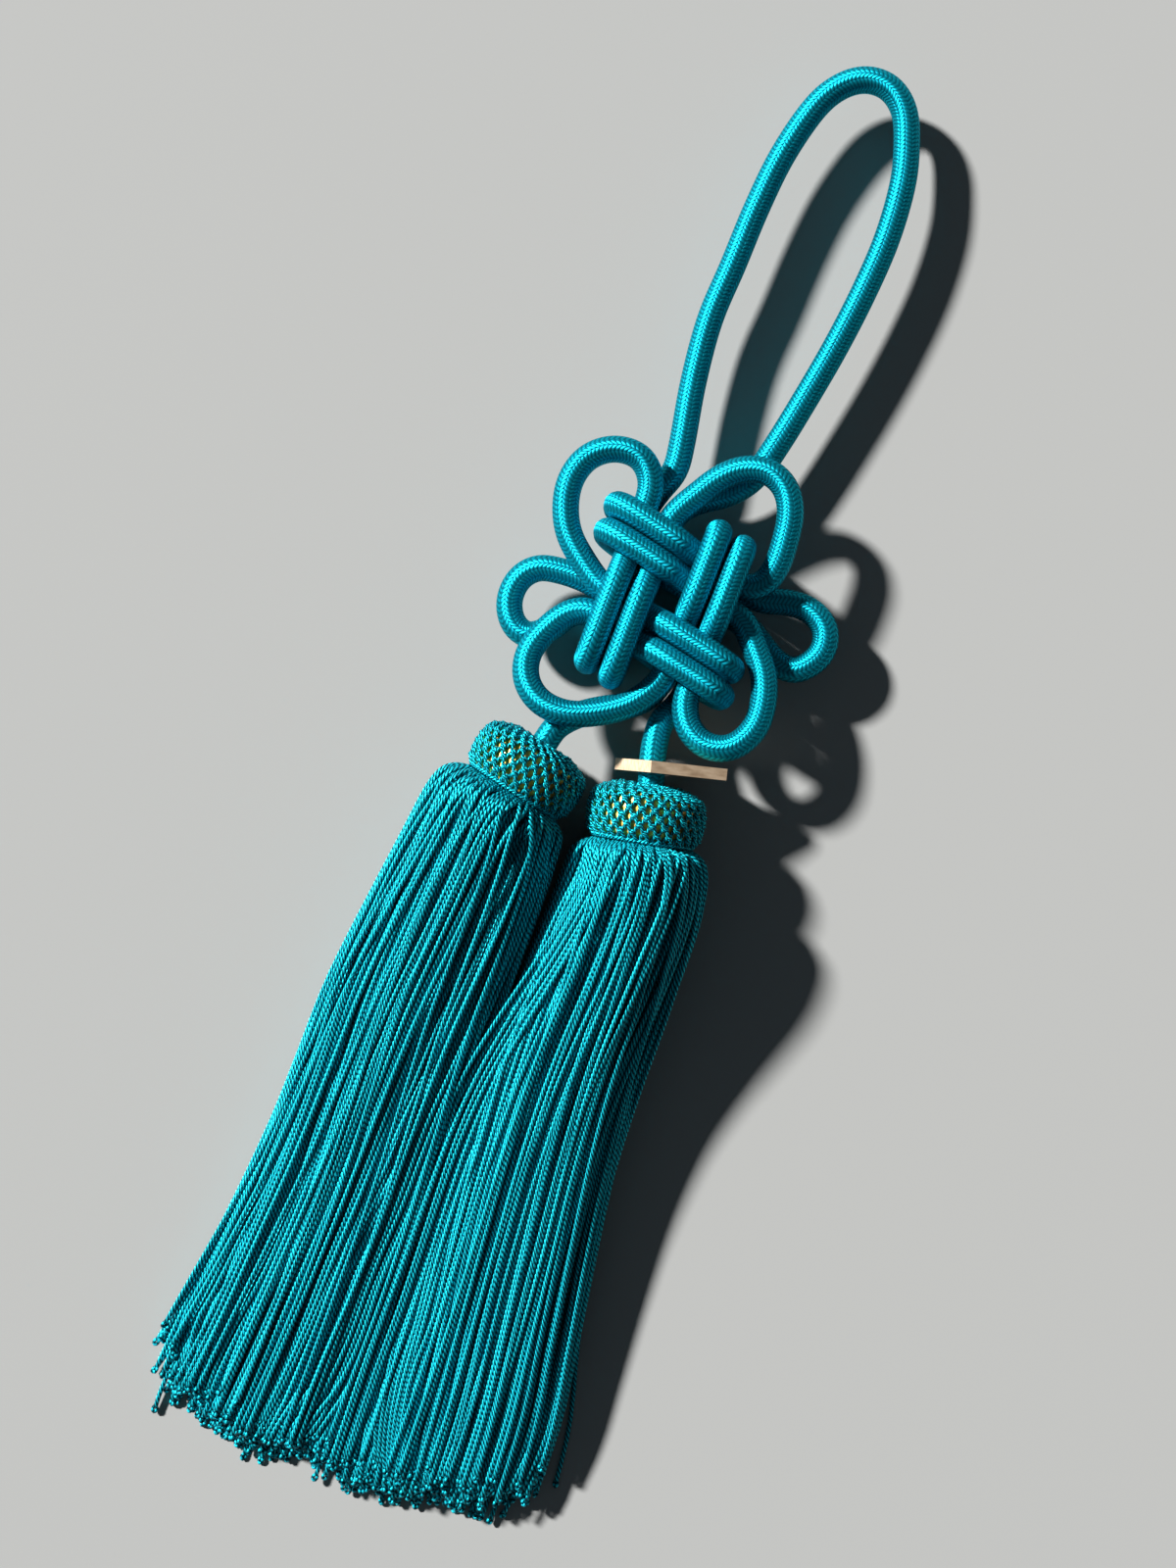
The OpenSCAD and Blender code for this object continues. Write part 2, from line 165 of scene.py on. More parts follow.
# Tones from dark to light: place on the ramp and colour
# The braid's darkest tone is painted shade in the grooves between stitches and the furrows between columns
BRAID_GROOVE_SHADE_TONES = ((0.1, (0.002, 0.1, 0.146)), (0.55, (0.003, 0.228, 0.314)), (0.95, (0.006, 0.42, 0.54)))
# The yarn's darkest tone is painted shade in the grooves between plies, and its lightest is a painted
# highlight on their crowns
YARN_SHADE_AND_HIGHLIGHT_TONES = ((0.3, (0.001, 0.026, 0.042)), (0.65, (0.004, 0.19, 0.25)), (0.92, (0.012, 0.6, 0.71)))
GOLD_TONES = ((0.3, (1.0, 0.48, 0.06)), (0.7, (1.0, 0.68, 0.16)))
WOOD_TONES = ((0.3, (0.36, 0.235, 0.14)), (0.5, (0.53, 0.375, 0.24)), (0.7, (0.67, 0.5, 0.34)))

# The braid: columns round the cord, length of a stitch, and its slant in stitches across a column
BRAID_COLUMNS = 12
BRAID_STITCH = 0.79 * MM
BRAID_SLANT = 0.85
# Its relief, the height of the grooves between stitches as a share of it, and the power that
# narrows the furrows between columns. Grooves and furrows give both the bump and the painted shade.
BRAID_RELIEF = 0.13 * MM
BRAID_GROOVE = 0.3
BRAID_CROWN = 0.14
# How much its tone changes from patch to patch
BRAID_PATCHES = 0.25

# Plies in a yarn, with the sign of the way that they wind
YARN_PLIES = -3.0
# How far the plies of a strand may be shifted, in plies, and how much its tone may differ
YARN_SHIFT = 7.3
YARN_TONE = 0.2

# How far the wood's grain is drawn out along the plate's lower side, through it and up it
WOOD_STRETCH = (12, 4, 1)


def new_material(name):
    """A material with its node tree and its Principled shader."""
    material = bpy.data.materials.new(name)
    material.use_nodes = True
    tree = material.node_tree
    return material, tree, tree.nodes["Principled BSDF"]


def maths(tree, operation, *values):
    """The result of a Math node. A value is a number or another node's output."""
    node = tree.nodes.new("ShaderNodeMath")
    node.operation = operation
    for value, socket in zip(values, node.inputs):
        if isinstance(value, bpy.types.NodeSocket):
            tree.links.new(value, socket)
        else:
            socket.default_value = value
    return node.outputs[0]


def paint(tree, shader, factor, tones):
    """Colours the shader by a ramp of tones."""
    node = tree.nodes.new("ShaderNodeValToRGB")
    ramp = node.color_ramp
    while len(ramp.elements) < len(tones):
        ramp.elements.new(1)
    for element, (place, colour) in zip(ramp.elements, tones):
        element.position = place
        element.color = (*colour, 1)
    tree.links.new(factor, node.inputs["Fac"])
    tree.links.new(node.outputs["Color"], shader.inputs["Base Color"])


def round_and_along(tree):
    """Where a point of a swept thread lies: turns round it and metres along it."""
    read = tree.nodes.new("ShaderNodeUVMap")
    read.uv_map = THREAD_UV
    split = tree.nodes.new("ShaderNodeSeparateXYZ")
    tree.links.new(read.outputs["UV"], split.inputs[0])
    return split.outputs["X"], split.outputs["Y"]


def noise(tree, scale, detail=2.0, vector=None):
    """Soft noise from 0 to 1, in the object's own coordinates unless a vector is given."""
    node = tree.nodes.new("ShaderNodeTexNoise")
    node.inputs["Scale"].default_value = scale
    node.inputs["Detail"].default_value = detail
    if vector is None:
        vector = tree.nodes.new("ShaderNodeTexCoord").outputs["Object"]
    tree.links.new(vector, node.inputs["Vector"])
    return node.outputs["Fac"]


def bump(tree, shader, height, distance, strength=1.0):
    """Relief on the shader: distance is how far a height of 1 stands out."""
    node = tree.nodes.new("ShaderNodeBump")
    node.inputs["Strength"].default_value = strength
    node.inputs["Distance"].default_value = distance
    tree.links.new(height, node.inputs["Height"])
    tree.links.new(node.outputs["Normal"], shader.inputs["Normal"])


def ridge(tree, phase):
    """Rounded ridges with sharp grooves between them, one for each whole number of phase."""
    return maths(tree, "ABSOLUTE", maths(tree, "SINE", maths(tree, "MULTIPLY", phase, math.pi)))


def satin(shader, roughness, silk):
    """The gloss of lustrous thread. silk is the share of light that its fibres mirror in their own colour."""
    shader.inputs["Roughness"].default_value = roughness
    shader.inputs["Metallic"].default_value = silk
    shader.inputs["Specular IOR Level"].default_value = 0.5
    shader.inputs["Specular Tint"].default_value = (*GLEAM, 1)


def braid_material():
    """Columns of slanted stitches round the cord, leaning left and right by turns, with painted shade in the
    grooves between stitches and the furrows between columns.
    """
    material, tree, shader = new_material("braided_satin")
    turns, along = round_and_along(tree)
    column = maths(tree, "MULTIPLY", turns, BRAID_COLUMNS)
    across = maths(tree, "FRACT", column)
    odd = maths(tree, "MODULO", maths(tree, "FLOOR", column), 2.0)
    side = maths(tree, "MULTIPLY_ADD", odd, 2.0, -1.0)
    slant = maths(tree, "MULTIPLY", maths(tree, "SUBTRACT", across, 0.5), BRAID_SLANT)
    lean = maths(tree, "MULTIPLY", side, slant)
    stitch = ridge(tree, maths(tree, "ADD", maths(tree, "DIVIDE", along, BRAID_STITCH), lean))
    crown = maths(tree, "POWER", ridge(tree, across), BRAID_CROWN)
    swell = maths(tree, "MULTIPLY_ADD", stitch, 1 - BRAID_GROOVE, BRAID_GROOVE)
    height = maths(tree, "MULTIPLY", crown, swell)
    patch = maths(tree, "SUBTRACT", noise(tree, scale=260), 0.5)
    # Painted shade: the colour darkens with the height into the grooves and furrows, on top of tone that
    # changes at random from patch to patch
    paint(tree, shader, maths(tree, "MULTIPLY_ADD", patch, BRAID_PATCHES, height), BRAID_GROOVE_SHADE_TONES)
    bump(tree, shader, height, BRAID_RELIEF)
    satin(shader, roughness=0.5, silk=0.8)
    tangent = tree.nodes.new("ShaderNodeTangent")
    tangent.direction_type = "UV_MAP"
    tangent.uv_map = THREAD_UV
    tree.links.new(tangent.outputs["Tangent"], shader.inputs["Tangent"])
    shader.inputs["Anisotropic"].default_value = 0.85
    # A quarter turn stretches the gloss along the cord
    shader.inputs["Anisotropic Rotation"].default_value = 0.25
    return material


def yarn_material(name, ply_step, relief):
    """Plies twisted together: ply_step is the distance along the yarn from one ply to the next. The colour
    has painted shade in the grooves between plies and a painted highlight on their crowns.
    """
    material, tree, shader = new_material(name)
    turns, along = round_and_along(tree)
    tone = tree.nodes.new("ShaderNodeTexWhiteNoise")
    tone.noise_dimensions = "1D"
    tree.links.new(maths(tree, "FLOOR", turns), tone.inputs["W"])
    own = tone.outputs["Value"]
    phase = maths(tree, "MULTIPLY_ADD", turns, YARN_PLIES, maths(tree, "DIVIDE", along, ply_step))
    ply = ridge(tree, maths(tree, "MULTIPLY_ADD", own, YARN_SHIFT, phase))
    # Painted shade and highlight: the colour darkens into the grooves between plies and lightens on their
    # crowns, on top of each strand's own random tone
    shade = maths(tree, "MULTIPLY_ADD", maths(tree, "SUBTRACT", own, 0.5), YARN_TONE, ply)
    paint(tree, shader, shade, YARN_SHADE_AND_HIGHLIGHT_TONES)
    bump(tree, shader, ply, relief)
    satin(shader, roughness=0.36, silk=0.5)
    return material


def gold_material():
    """Bright gold foil, slightly uneven."""
    material, tree, shader = new_material("gold")
    patchy = noise(tree, scale=420, detail=3.0)
    paint(tree, shader, patchy, GOLD_TONES)
    shader.inputs["Metallic"].default_value = 0.5
    shader.inputs["Roughness"].default_value = 0.35
    bump(tree, shader, patchy, distance=0.12 * MM, strength=0.6)
    return material


def wood_material():
    """Pale sanded wood with fine grain along the plate's lower side."""
    material, tree, shader = new_material("pale_wood")
    coordinates = tree.nodes.new("ShaderNodeTexCoord").outputs["Object"]
    stretch = tree.nodes.new("ShaderNodeMapping")
    stretch.vector_type = "TEXTURE"
    stretch.inputs["Rotation"].default_value = PLATE_ANGLES
    stretch.inputs["Scale"].default_value = WOOD_STRETCH
    tree.links.new(coordinates, stretch.inputs["Vector"])
    grain = noise(tree, scale=3400, detail=4.0, vector=stretch.outputs["Vector"])
    paint(tree, shader, grain, WOOD_TONES)
    shader.inputs["Roughness"].default_value = 0.62
    bump(tree, shader, grain, distance=0.06 * MM, strength=0.5)
    return material


# Swept meshes

def unit(v):
    """Vectors of length 1 in the same directions."""
    return v / np.linalg.norm(v, axis=-1, keepdims=True)


def whole_turn(count):
    """Evenly spaced angles round a whole turn."""
    return np.arange(count) * 2 * math.pi / count


def lengths_along(points):
    """The distance along a line of points, at each of them."""
    steps = np.linalg.norm(np.diff(points, axis=0), axis=1)
    return np.concatenate([[0], np.cumsum(steps)])


def tangents(paths, closed):
    """Directions along the paths (thread, ring, xyz) at each ring."""
    if closed:
        return unit(np.roll(paths, -1, axis=1) - np.roll(paths, 1, axis=1))
    ahead = np.concatenate([paths[:, 1:], paths[:, -1:]], axis=1)
    behind = np.concatenate([paths[:, :1], paths[:, :-1]], axis=1)
    return unit(ahead - behind)


def carried_side(along):
    """A side direction at each ring, carried along the thread without twist."""
    # The first side is square to Y, or to Z on a thread that begins nearly along X
    spare = np.where(np.abs(along[:, 0, 1:2]) < 0.9, [[0.0, 1.0, 0.0]], [[0.0, 0.0, 1.0]])
    side = unit(np.cross(along[:, 0], spare))
    sides = []
    for ring in range(along.shape[1]):
        t = along[:, ring]
        side = unit(side - (side * t).sum(axis=1, keepdims=True) * t)
        sides.append(side)
    return np.stack(sides, axis=1)


def sweep(paths, radius, sides, closed=False, outward=None, first_index=0):
    """Tubes along paths (thread, ring, xyz). radius is a number or an array of (thread, ring, side).
    first_index numbers the first thread, and a yarn's material gives each number its own tone.
    Returns vertices, faces, each face's corners in the thread's own coordinates, and the end faces."""
    threads, rings, _ = paths.shape
    along = tangents(paths, closed)
    if outward is None:
        side = carried_side(along)
    else:
        side = unit(np.cross(along, outward))
    up = np.cross(side, along)
    angle = whole_turn(sides)
    spokes = np.cos(angle)[:, None] * side[:, :, None] + np.sin(angle)[:, None] * up[:, :, None]
    size = np.broadcast_to(radius, (threads, rings, sides))
    vertices = paths[:, :, None] + spokes * size[..., None]

    steps = np.linalg.norm(np.diff(paths, axis=1, append=paths[:, :1]), axis=2)
    distance = np.concatenate([np.zeros((threads, 1)), np.cumsum(steps, axis=1)], axis=1)
    last = rings if closed else rings - 1
    thread, ring, k = np.meshgrid(np.arange(threads), np.arange(last), np.arange(sides), indexing="ij")
    next_ring, next_k = (ring + 1) % rings, (k + 1) % sides

    def corner(r, s):
        return (thread * rings + r) * sides + s

    faces = np.stack([corner(ring, k), corner(next_ring, k), corner(next_ring, next_k),
                      corner(ring, next_k)], axis=-1)
    here, there = distance[thread, ring], distance[thread, ring + 1]
    left, right = first_index + thread + k / sides, first_index + thread + (k + 1) / sides
    uvs = np.stack([np.stack(pair, axis=-1) for pair in
                    ((left, here), (left, there), (right, there), (right, here))], axis=-2)
    caps = []
    if not closed:
        for t in range(threads):
            start, end = t * rings * sides, (t * rings + rings - 1) * sides
            caps.append([start + s for s in range(sides)])
            caps.append([end + s for s in reversed(range(sides))])
    return {"vertices": vertices.reshape(-1, 3), "faces": faces.reshape(-1, 4),
            "uvs": uvs.reshape(-1, 4, 2), "caps": caps}


def new_piece(name, shapes, material):
    """One mesh object of several swept shapes."""
    vertices, faces, uvs = [], [], []
    start = 0
    for shape in shapes:
        vertices.append(shape["vertices"])
        faces += (shape["faces"] + start).tolist()
        uvs.append(shape["uvs"].reshape(-1, 2))
        start += len(shape["vertices"])
    start = 0
    for shape in shapes:
        for cap in shape["caps"]:
            faces.append([start + v for v in cap])
            uvs.append(np.zeros((len(cap), 2)))
        start += len(shape["vertices"])
    mesh = bpy.data.meshes.new(name)
    mesh.from_pydata(np.concatenate(vertices), [], faces)
    layer = mesh.uv_layers.new(name=THREAD_UV)
    layer.uv.foreach_set("vector", np.concatenate(uvs).astype(np.float32).ravel())
    mesh.polygons.foreach_set("use_smooth", [True] * len(mesh.polygons))
    mesh.materials.append(material)
    mesh.update()
    piece = add_object(name, mesh)
    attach(piece, BODY)
    return piece


# The cord

ARC_STEPS = 8
CORD_STEP = 0.8 * MM
# Four corners to a column of the braid
CORD_SIDES = 4 * BRAID_COLUMNS
ROUNDING_PASSES = 3
# Furrows between the columns: their depth, and a power that is smaller for narrower ones
FURROW_DEPTH = 0.04 * MM
FURROW_POWER = 0.6


def upper_branch(a, out, reach):
    """Upper branch of an arm in its own upright plane: in, up between the crossings, and over the fold."""
    rise = math.asin(2 * LAYER / math.hypot(2 * a, LAYER)) - math.atan2(LAYER, 2 * a)
    fold_v, top_z = -out - reach, 1.5 * LAYER
    turns = np.linspace(0, rise, ARC_STEPS + 1)
    points = [(out + ENTRY_LEN, LAYER / 2), ((out + a) / 2, LAYER / 2)]
    points += [(a - LAYER * math.sin(t), top_z - LAYER * math.cos(t)) for t in turns]
    points += [(LAYER * math.sin(t) - a, LAYER * (0.5 + math.cos(t))) for t in turns[::-1]]
    points += [(fold_v - FOLD_R * math.sin(t), top_z - FOLD_R * (1 - math.cos(t)))
               for t in np.linspace(0, math.pi / 2, ARC_STEPS + 1)]
    return points


def strand(arm, outer):
    """Both branches of one strand of an arm, from its upper entry to its lower one."""
    upright = arm in (TOP, BOTTOM)
    lane, a = (COLUMN_LANE, ROW_LANE) if upright else (ROW_LANE, COLUMN_LANE)
    pitch, out_pitch = (COLUMN_PITCH, ROW_PITCH) if upright else (ROW_PITCH, COLUMN_PITCH)
    lane += pitch if outer else 0
    upper = upper_branch(a, a + out_pitch, FOLD_REACH[arm])
    points = []
    for v, z in upper + [(v, -z) for v, z in upper[::-1]]:
        x, y = ((-lane, v), (v, lane), (lane, -v), (-v, -lane))[arm]
        points.append(np.array((x, y - x * math.tan(ROW_SLOPE), z + KNOT_MID_Z)))
    return points


def curve_at(p, t):
    """A smooth curve from the second to the third of four points, at a share t of the way."""
    return 0.5 * (2 * p[1] + (p[2] - p[0]) * t + (2 * p[0] - 5 * p[1] + 4 * p[2] - p[3]) * t * t
                  + (3 * p[1] - p[0] - 3 * p[2] + p[3]) * t ** 3)


def link(before, route, after):
    """Cord along the chosen points of a route, between two strands."""
    points = before[-2:] + [np.array(p) for p in route] + after[:2]
    found = []
    for i in range(1, len(points) - 2):
        steps = max(1, round(float(np.linalg.norm(points[i + 1] - points[i])) / CORD_STEP))
        found += [curve_at(points[i - 1:i + 3], s / steps) for s in range(steps) if i > 1 or s > 0]
    return found


def along_head(at, lean, distance):
    """A point on a head's axis, at a distance above the head's middle."""
    return np.array((at[0] + distance * math.sin(lean), at[1] + distance * math.cos(lean), HEAD_AXIS_Z))


def cord_route():
    """The whole cord's centreline, from the left head through the knot to the right head."""
    inset = HEAD_H / 2 - CORE_BORE_DEPTH + FIT_GAP
    left_end = [along_head(LEFT_HEAD_AT, LEFT_LEAN, s) for s in (inset, HEAD_H / 2)]
    right_end = [along_head(RIGHT_HEAD_AT, RIGHT_LEAN, s) for s in (HEAD_H / 2, inset)]
    stretches = (
        (strand(BOTTOM, False)[::-1], LEFT_EAR), (strand(LEFT, True), LEFT_LOOP),
        (strand(LEFT, False)[::-1], UPPER_LEFT_EAR), (strand(TOP, True), HANGING_LOOP),
        (strand(TOP, False)[::-1], UPPER_RIGHT_EAR), (strand(RIGHT, True), RIGHT_LOOP),
        (strand(RIGHT, False)[::-1], LOWER_RIGHT_EAR), (strand(BOTTOM, True), RIGHT_LEG),
    )
    route = left_end + link(left_end, LEFT_LEG, stretches[0][0])
    for i, (held, free) in enumerate(stretches):
        after = stretches[i + 1][0] if i + 1 < len(stretches) else right_end
        route += held + link(held, free, after)
    return np.array(route + right_end) + KNOT_AT


def evenly(points, step):
    """Points a step apart along a line of points, with its small corners rounded."""
    distance = lengths_along(points)
    count = round(distance[-1] / step) + 1
    places = np.linspace(0, distance[-1], count)
    line = np.stack([np.interp(places, distance, points[:, axis]) for axis in range(3)], axis=1)
    for _ in range(ROUNDING_PASSES):
        line[1:-1] = 0.5 * line[1:-1] + 0.25 * (line[:-2] + line[2:])
    return line


def make_cord(material):
    """The whole cord as one braided tube."""
    line = evenly(cord_route(), CORD_STEP)
    across = np.arange(CORD_SIDES) * BRAID_COLUMNS / CORD_SIDES % 1
    furrow = FURROW_DEPTH * (1 - np.sin(math.pi * across) ** FURROW_POWER)
    shape = sweep(line[None], CORD_D / 2 - furrow, CORD_SIDES)
    piece = new_piece("cord", [shape], material)
    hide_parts("knotted_cord")


# The nets

# The head's outline from its foot to its top: shares of its radius and of its height
HEAD_OUTLINE = ((0.965, 0.14), (1, 0.36), (1, 0.55), (0.95, 0.76), (0.82, 0.91), (0.58, 1))
# How far inside it the net's middle surface lies, and where the net meets the cord
NET_INSET = 0.72 * MM
NECK_R = CORD_D / 2 + 0.5 * MM

# Yarn: its radius, its size between the crossings in shares of that, and how much and how
# sharply it grows at them
YARN_R = 0.4 * MM
LEG_SIZE = 0.85
BEAD_GROWTH = 0.3
BEAD_SHARPNESS = 4

# Rounds: loops in each, with half as many inside a radius, their height, how far they hook into the
# next round, how deep they weave and how much they wobble
NET_LOOPS = 28
HALVED_R = 0.58 * HEAD_R
NET_ROW_PITCH = 1.5 * MM
NET_HOOK = 0.36 * MM
NET_DEPTH = 0.2 * MM
NET_WOBBLE = 0.09 * MM
# Space below the first round, in heights of a round
FOOT_GAP = 0.25
NET_POINTS = 12
NET_SIDES = 6

# Wraps round the crossings: radius of the wrap and of its yarn, and its tilt
WRAP_R = 0.4 * MM
WRAP_YARN_R = 0.3 * MM
WRAP_TILT = 0.6
WRAP_POINTS = 10
WRAP_SIDES = 5

# Cords at the net's edge and neck: place of the first, and sizes against the yarn
EDGE_ARC = 0.2 * MM
EDGE_SIZE, NECK_SIZE = 1.15, 1.2
EDGE_POINTS = 90

# First numbers of the wraps and the edge cords, which give them tones of their own
WRAP_INDEX = 100
EDGE_INDEX = 50


def head_curve():
    """The net's middle surface from its lower edge to the cord: radius, height and arc length."""
    outline = np.array([(HEAD_FOOT_R, 0)] + [(r * HEAD_R, h * HEAD_H) for r, h in HEAD_OUTLINE]
                       + [(NECK_R + NET_INSET + YARN_R, HEAD_H)])
    outline[:, 0] -= NET_INSET
    outline[-3:, 1] -= NET_INSET
    return outline[:, 0], outline[:, 1], lengths_along(outline)


def net_round(on_head, row, loops, arc_at, pitch, top, rng):
    """One round of loops, thicker where they hook into their neighbours."""
    count = loops * NET_POINTS
    angle = whole_turn(count)
    wave = loops * angle + math.pi * row
    nudges = np.append(rng.normal(0, NET_WOBBLE, loops), 0)
    wobble = np.interp(np.arange(count), np.arange(0, count + 1, NET_POINTS), nudges)
    arc = arc_at + (pitch / 2 + NET_HOOK) * np.cos(wave) + wobble
    points, normal = on_head(angle, np.clip(arc, 0, top), -NET_DEPTH * np.sin(wave))
    thickness = YARN_R * (LEG_SIZE + BEAD_GROWTH * np.abs(np.cos(wave)) ** BEAD_SHARPNESS)
    return sweep(points[None], thickness[None, :, None], NET_SIDES, True, normal[None], row)


def net_wraps(on_head, row, loops, arc_at):
    """Small wraps of yarn round the crossings between a round and the next."""
    angle = (2 * np.arange(loops) - row) * math.pi / loops
    arc = np.full(loops, arc_at)
    middle, normal = on_head(angle, arc, np.zeros(loops))
    rise = unit(on_head(angle, arc + YARN_R, np.zeros(loops))[0] - middle)
    aside = np.cross(normal, rise)
    turn = whole_turn(WRAP_POINTS) - math.pi / 2
    outward = (np.cos(turn)[:, None] * (aside + WRAP_TILT * rise)[:, None]
               + np.sin(turn)[:, None] * normal[:, None])
    return sweep(middle[:, None] + WRAP_R * outward, WRAP_YARN_R, WRAP_SIDES, True, outward,
                 WRAP_INDEX + row * loops)


def net_shapes(at, lean, rng):
    """Rounds of looped yarn, each hooked through the one below it, with a cord at the edge and the neck."""
    radii, heights, lengths = head_curve()
    axis = np.array((math.sin(lean), math.cos(lean), 0.0))
    across = np.array((math.cos(lean), -math.sin(lean), 0.0))
    foot = along_head(at, lean, -HEAD_H / 2) + KNOT_AT

    def on_head(angle, arc, lift):
        """Points on the net's surface, raised by lift, and the outward directions there."""
        radius = np.interp(arc, lengths, radii)
        height = np.interp(arc, lengths, heights)
        slope_r = np.interp(arc + YARN_R, lengths, radii) - np.interp(arc - YARN_R, lengths, radii)
        slope_h = np.interp(arc + YARN_R, lengths, heights) - np.interp(arc - YARN_R, lengths, heights)
        size = np.hypot(slope_r, slope_h)
        out_r, out_h = slope_h / size, -slope_r / size
        spoke = np.cos(angle)[:, None] * across + np.sin(angle)[:, None] * np.array((0, 0, 1.0))
        normal = spoke * out_r[:, None] + axis * out_h[:, None]
        points = foot + spoke * radius[:, None] + axis * height[:, None] + normal * lift[:, None]
        return points, normal

    reach = lengths[-1] - NET_HOOK - YARN_R
    rows = round(reach / NET_ROW_PITCH - FOOT_GAP)
    pitch = reach / (rows + FOOT_GAP)
    shapes = []
    for row in range(rows):
        arc_at = (row + 0.5 + FOOT_GAP) * pitch
        loops = NET_LOOPS if np.interp(arc_at, lengths, radii) > HALVED_R else NET_LOOPS // 2
        shapes.append(net_round(on_head, row, loops, arc_at, pitch, lengths[-1], rng))
        if row < rows - 1:
            shapes.append(net_wraps(on_head, row, loops, arc_at + pitch / 2))
    for arc_at, size in ((EDGE_ARC, EDGE_SIZE), (lengths[-1], NECK_SIZE)):
        points, normal = on_head(whole_turn(EDGE_POINTS), np.full(EDGE_POINTS, arc_at), np.zeros(EDGE_POINTS))
        shapes.append(sweep(points[None], size * YARN_R, NET_SIDES, True, normal[None], EDGE_INDEX))
    return shapes


# The skirts

STATIONS_PER_SECTION = 4
# How far the strands go on past the last section, in shares of the step before it
BEYOND = 0.45
OUTLINE_POINTS = 145
# How square the squarest corners are: 0 is round
SQUARENESS = 0.4

# Strands: radius, sides and least distance
STRAND_R = 0.43 * MM
STRAND_SIDES = 6
STRAND_GAP = 0.93 * MM
# How they are pushed apart: passes, share of a missing distance that a strand makes up in each, the
# limit for very near ones, the share that each neighbouring station has in a strand's place, and
# how far out a strand may lie
SPREAD_PASSES = 7
PUSH = 0.42
MOST_PUSH = 3
EASE = 0.2
LOOSE_REACH = 1.03

# Layers of strands: inset from the outline, number of strands, and gaps between locks in strands
SKIRT_LAYERS = ((0, 62, 0.9), (0.85 * MM, 74, 0.35), (1.75 * MM, 68, 0.2), (2.8 * MM, 52, 0.2))
# How much deeper the layers lie at the head, in shares of their inset
HEAD_SINK = 1.2
# Where the locks begin and how soon they are full, in shares of the length
LOCKS_BEGIN = 0.03
LOCKS_GROW = 0.15
# Strands in a lock, and the range of the gaps after one, in shares of its layer's looseness
LOCK_LEAST, LOCK_MOST = 1, 5
LOCK_GAPS = (0.4, 1.8)
# How locks and strands wander: sway in turns and lift, in how many waves, and how much of it at the
# head and more at the ends
LOCK_SWAY = 0.012
LOCK_LIFT = 0.35 * MM
STRAND_SWAY = 0.004
STRAND_LIFT = 0.2 * MM
SWAY_WAVES = 5
HEAD_SWAY = 0.75
END_SWAY = 1.1

# Gaps between bundles of locks: turn at the head, turn at the ends, half width in turns, depth,
# waves and phase. The left skirt and the right one each have one deep gap.
LEFT_GAPS = ((0.19, 0.135, 0.022, 3.2 * MM, 0, 1.57),)
RIGHT_GAPS = ((0.14, 0.17, 0.012, 1.8 * MM, 0, 1.57),)
# The others: number, half width and depth, and the ranges of what is drawn for each: shift in shares
# of the space between two, drift in turns to the ends, factors of width and depth, waves and phase
RANDOM_GAPS = 9
GAP_WIDTH = 0.008
GAP_DEPTH = 1.2 * MM
GAP_SHIFTS = (-0.35, 0.35)
GAP_DRIFTS = (-0.03, 0.03)
GAP_WIDTHS = (0.6, 1.4)
GAP_DEPTHS = (0.5, 1.5)
GAP_WAVES = (0.5, 2.0)
GAP_PHASES = (0, 6.28)
# How a gap wanders, how much of its depth stays all along it, and how far strands lean out of it
GAP_WANDER = 0.006
GAP_WANDER_WAVES = 7
GAP_STEADY = 0.65
GAP_LEAN = 0.6

# Strands that ride over the rest: number, where they start in shares of the half width, how far
# they swing across, sway, lift, unevenness, and how soon they rise
RIDERS = 24
RIDER_START = 0.8
RIDER_SWING = 13 * MM
RIDER_SWAY = 0.5 * MM
RIDER_LIFT = 0.75 * MM
RIDER_UNEVEN = 0.15 * MM
RIDER_RISE = 8
# The height on top is taken within this share of the half width
TOP_EDGE = 0.98

# Strands of the right skirt that close the gap to the left one: number, where they begin to cross and
# how fast, half of the gap, where they end from first to last in mm, and their sway
BRIDGES = 9
BRIDGE_BEGIN = 0.3
BRIDGE_SPEED = 2.2
BRIDGE_GAP = 0.25 * MM
BRIDGE_ENDS = (-3.4, 2.6)
BRIDGE_SWAY = 0.4 * MM
# How far inside the edge they start and how close together, how far inside it their height is
# taken, their lift, and the drop of every third and of the others
BRIDGE_START = 7 * MM
BRIDGE_CLOSE = 0.7
BRIDGE_INSIDE = 3 * MM
BRIDGE_LIFT = 0.5 * MM
BRIDGE_DEEP_DROP, BRIDGE_DROP = 1.0 * MM, 0.15 * MM

# How far the outer strands spread at their ends, or draw in if negative: left skirt (1) and right
# skirt (-1)
FAN = {1: 2 * MM, -1: -2.5 * MM}
FAN_BEGIN = 0.7
# The one strand that strays: how far out, where it reaches the table, and over which share it falls
STRAY_OUT = 4 * MM
STRAY_DOWN = 0.75
STRAY_FALL = 0.25

# Ends: how much sooner the upper strands end, range of unevenness in mm, and the few long ones
END_RISE = 0.9
END_UNEVEN = (-1.6, 3)
LONG_SHARE = 0.06
LONG_BY = 2.5 * MM
# Strands grow a little thicker towards their ends
END_FLARE = 0.12
# The loop of ply at an end: radius, how far ahead and how long against it, tilt, and the ply
END_RING_R = 0.4 * MM
END_AHEAD = 1.1
END_LONG = 1.6
END_TILT = 0.9
END_POINTS = 9
END_PLY_R = 0.34 * MM
END_PLY_SIDES = 4


